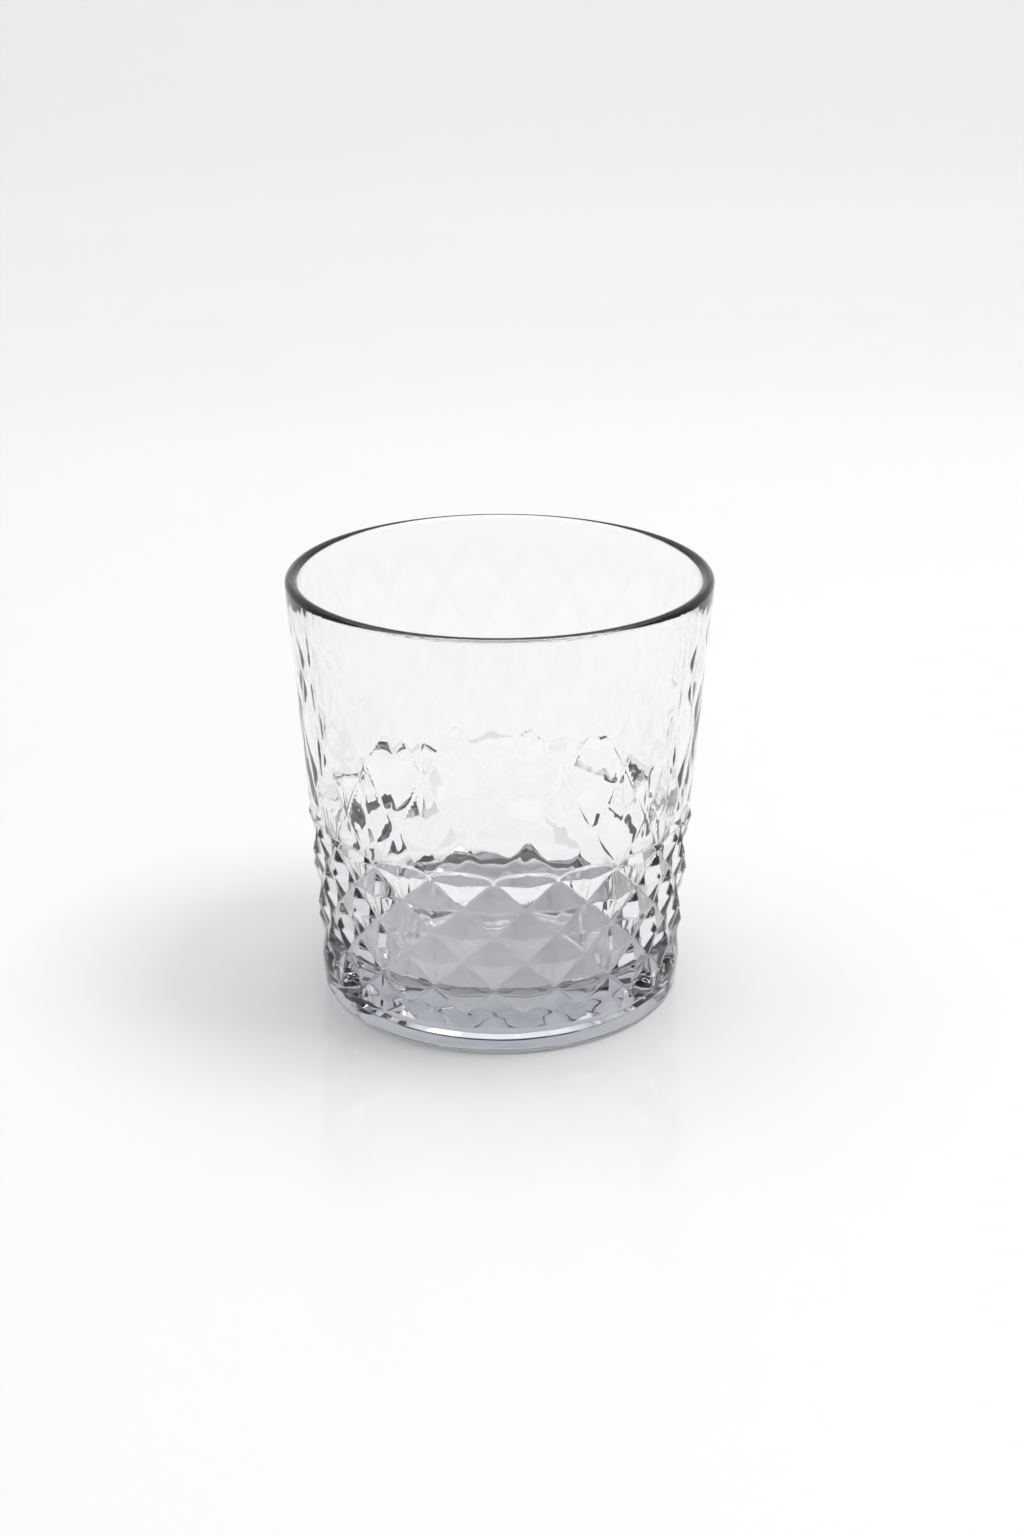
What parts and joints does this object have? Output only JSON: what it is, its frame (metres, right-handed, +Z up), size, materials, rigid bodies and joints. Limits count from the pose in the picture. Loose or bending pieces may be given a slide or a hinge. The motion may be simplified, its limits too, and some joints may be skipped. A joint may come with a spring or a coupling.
{
  "type": "whiskey tumbler",
  "caption": "Low tapered tumbler of clear pressed glass: thick flat base, raised diamonds round the wall that stretch upwards, plain rounded lip.",
  "frame": {"origin": "centre of the underside, on the surface that the glass stands on", "axes": "+Z up along the axis of the glass; -Y towards the side with a column of groove crossings 1.9 degrees off centre"},
  "size_m": [0.084, 0.084, 0.087],
  "materials": {
    "glass": "clear, fire-polished, gloss"
  },
  "bodies": {
    "root": {"glass_body": "glass"}
  },
  "joints": []
}
